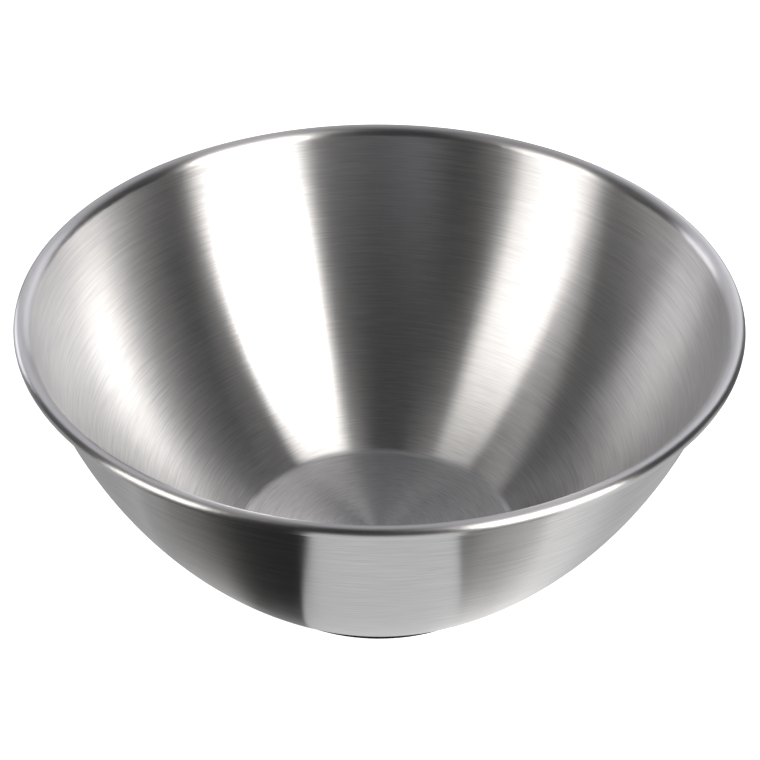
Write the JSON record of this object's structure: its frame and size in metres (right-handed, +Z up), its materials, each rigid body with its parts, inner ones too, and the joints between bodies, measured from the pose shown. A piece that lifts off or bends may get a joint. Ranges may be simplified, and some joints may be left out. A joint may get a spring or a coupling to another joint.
{
  "type": "mixing bowl",
  "caption": "Round stainless steel mixing bowl with a flat base, a curved flaring wall and a rolled rim, for mixing dough and batter.",
  "frame": {"origin": "centre of the base's underside, on the surface the bowl stands on", "axes": "+Z up along the bowl's axis of symmetry, towards its open mouth; X and Y level"},
  "size_m": [0.3, 0.3, 0.13],
  "materials": {
    "brushed_steel": "satin, brushed round the axis, with a smoother rim"
  },
  "bodies": {
    "root": {"bowl": "brushed_steel"}
  },
  "joints": []
}
